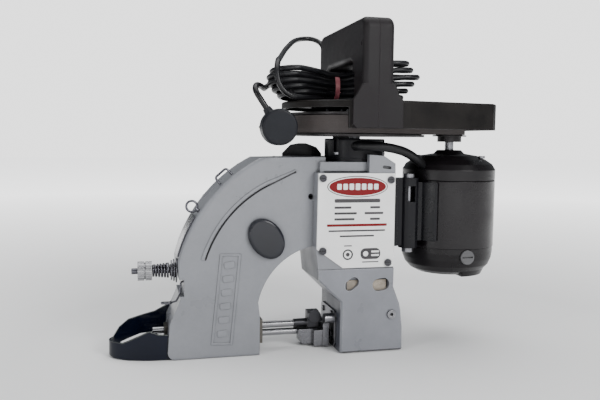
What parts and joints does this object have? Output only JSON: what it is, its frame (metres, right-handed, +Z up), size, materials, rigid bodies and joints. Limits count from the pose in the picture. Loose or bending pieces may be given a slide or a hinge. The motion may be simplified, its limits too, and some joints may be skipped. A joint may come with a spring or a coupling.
{
  "type": "bag closer sewing machine",
  "caption": "Hand-held bag closing sewing machine: cast arch over a throat gap, side needle and presser, looper foot, belt drive from a side motor, top handle and cord hank.",
  "frame": {"origin": "on the floor in the sole of the right foot, below the middle of the looper housing", "axes": "+X along the front from the nose guard towards the motor, +Y to the rear, +Z up"},
  "size_m": [0.3515, 0.1915, 0.2926],
  "materials": {
    "cast_paint": "satin light grey enamel",
    "dark_paint": "semi-gloss black enamel",
    "cover_paint": "satin grey enamel with dark edge",
    "plate_print": "white enamel with plain printed panels",
    "bright_steel": "polished",
    "steel": "machined",
    "dark_steel": "blackened",
    "black_plastic": "fine texture",
    "gloss_black": "gloss",
    "bronze": "sintered",
    "felt": "oiled felt",
    "alloy": "turned",
    "iron_core": "laminated",
    "carbon": "moulded",
    "belt_rubber": "matt",
    "cord_rubber": "semi-matt",
    "tie_vinyl": "soft sheen",
    "pin_brass": "nickel plated"
  },
  "bodies": {
    "machine": {"main_frame": "cast_paint", "rear_cover": "cast_paint", "looper_cover": "cover_paint", "oil_wick_pads": "felt", "throat_plate": "steel", "bar_guides": "bronze", "fixed_pins": "steel", "ball_bearings": "bright_steel", "presser_spring": "steel", "access_cap": "gloss_black", "name_plate": "plate_print", "name_plate_screws": "dark_steel", "machine_screws": "steel", "socket_screws": "dark_steel", "handle_screws": "dark_steel", "thread_fittings": "bright_steel", "tension_post": "bright_steel", "tension_spring": "bright_steel", "nose_guard": "dark_paint", "thread_stand_bracket": "dark_paint", "handle_bracket": "dark_paint", "neck_housing": "dark_paint", "drive_belt": "belt_rubber", "belt_guard": "dark_paint", "handle_left_shell": "black_plastic", "handle_right_shell": "black_plastic", "switch_body": "black_plastic", "strain_relief": "cord_rubber", "motor_housing": "dark_paint", "motor_top_cap": "black_plastic", "motor_bottom_cap": "black_plastic", "motor_brushes": "carbon", "motor_stator": "iron_core", "motor_bracket": "dark_paint", "motor_lead": "cord_rubber", "mains_cord": "cord_rubber", "cord_hank": "cord_rubber", "cord_tie": "tie_vinyl", "mains_plug": "cord_rubber", "plug_pins": "pin_brass"},
    "drive_shaft": {"main_shaft": "steel", "shaft_cams": "steel", "drive_pulley": "alloy"},
    "strap": {"eccentric_strap": "alloy"},
    "motor_rotor": {"armature": "iron_core", "motor_shaft": "steel", "motor_pulley": "alloy"},
    "needle_carriage": {"needle_bar": "bright_steel", "needle_bar_driver": "steel", "needle_clamp": "dark_steel", "needle": "bright_steel"},
    "lever": {"needle_lever": "steel"},
    "rod": {"connecting_rod": "steel"},
    "looper_arm": {"looper": "bright_steel"},
    "presser": {"presser_bar": "bright_steel", "presser_foot": "steel"},
    "lifter": {"presser_lifter": "steel"},
    "feed": {"feed_dog": "steel"},
    "trigger": {"switch_trigger": "black_plastic"},
    "thumb_nut": {"tension_nut": "bright_steel"}
  },
  "joints": [
    {"name": "main_spin", "type": "hinge", "parent": "machine", "child": "drive_shaft", "pos_m": [-0.006, 0, 0.11], "axis": [0, 0, 1], "continuous": true},
    {"name": "strap_turn", "type": "hinge", "parent": "drive_shaft", "child": "strap", "pos_m": [-0.0105, 0, 0.1345], "axis": [0, 0, 1], "continuous": true},
    {"name": "motor_spin", "type": "hinge", "parent": "machine", "child": "motor_rotor", "pos_m": [0.087, 0, 0.11], "axis": [0, 0, 1], "continuous": true},
    {"name": "needle_slide", "type": "slide", "parent": "machine", "child": "needle_carriage", "axis": [1, 0, 0], "range_m": [-0.028, 0]},
    {"name": "lever_swing", "type": "hinge", "parent": "machine", "child": "lever", "pos_m": [-0.0916, 0, 0.1008], "axis": [0, 1, 0], "range_deg": [0, 15.3]},
    {"name": "rod_turn", "type": "hinge", "parent": "lever", "child": "rod", "pos_m": [-0.0961, 0, 0.1345], "axis": [0, 1, 0], "range_deg": [-15.3, 0]},
    {"name": "looper_swing", "type": "hinge", "parent": "machine", "child": "looper_arm", "pos_m": [0.009, 0.008, 0.03], "axis": [0, 0, 1], "range_deg": [0, 18.5]},
    {"name": "presser_slide", "type": "slide", "parent": "machine", "child": "presser", "axis": [1, 0, 0], "range_m": [-0.008, 0], "stiffness_N_per_m": 500, "springref_m": 0.012, "deforming": ["presser_spring"]},
    {"name": "lifter_turn", "type": "hinge", "parent": "machine", "child": "lifter", "pos_m": [-0.137, 0, 0.036], "axis": [0, 1, 0], "range_deg": [0, 18.4]},
    {"name": "feed_slide", "type": "slide", "parent": "machine", "child": "feed", "axis": [0, 1, 0], "range_m": [-0.004, 0.004]},
    {"name": "trigger_press", "type": "slide", "parent": "machine", "child": "trigger", "axis": [0, 0, 1], "range_m": [0, 0.0035], "stiffness_N_per_m": 400, "springref_m": -0.004},
    {"name": "tension_turn", "type": "hinge", "parent": "machine", "child": "thumb_nut", "pos_m": [-0.192, -0.012, 0.074], "axis": [1, 0, 0], "continuous": true}
  ],
  "couplings": [
    {"joint": "strap_turn", "follows": "main_spin", "ratio": -1},
    {"joint": "motor_spin", "follows": "main_spin", "ratio": 5},
    {"joint": "lever_swing", "follows": "needle_slide", "rad_per_m": -9.475},
    {"joint": "rod_turn", "follows": "needle_slide", "rad_per_m": 9.475},
    {"joint": "looper_swing", "follows": "needle_slide", "rad_per_m": -11.22},
    {"joint": "lifter_turn", "follows": "presser_slide", "rad_per_m": -39.9}
  ]
}
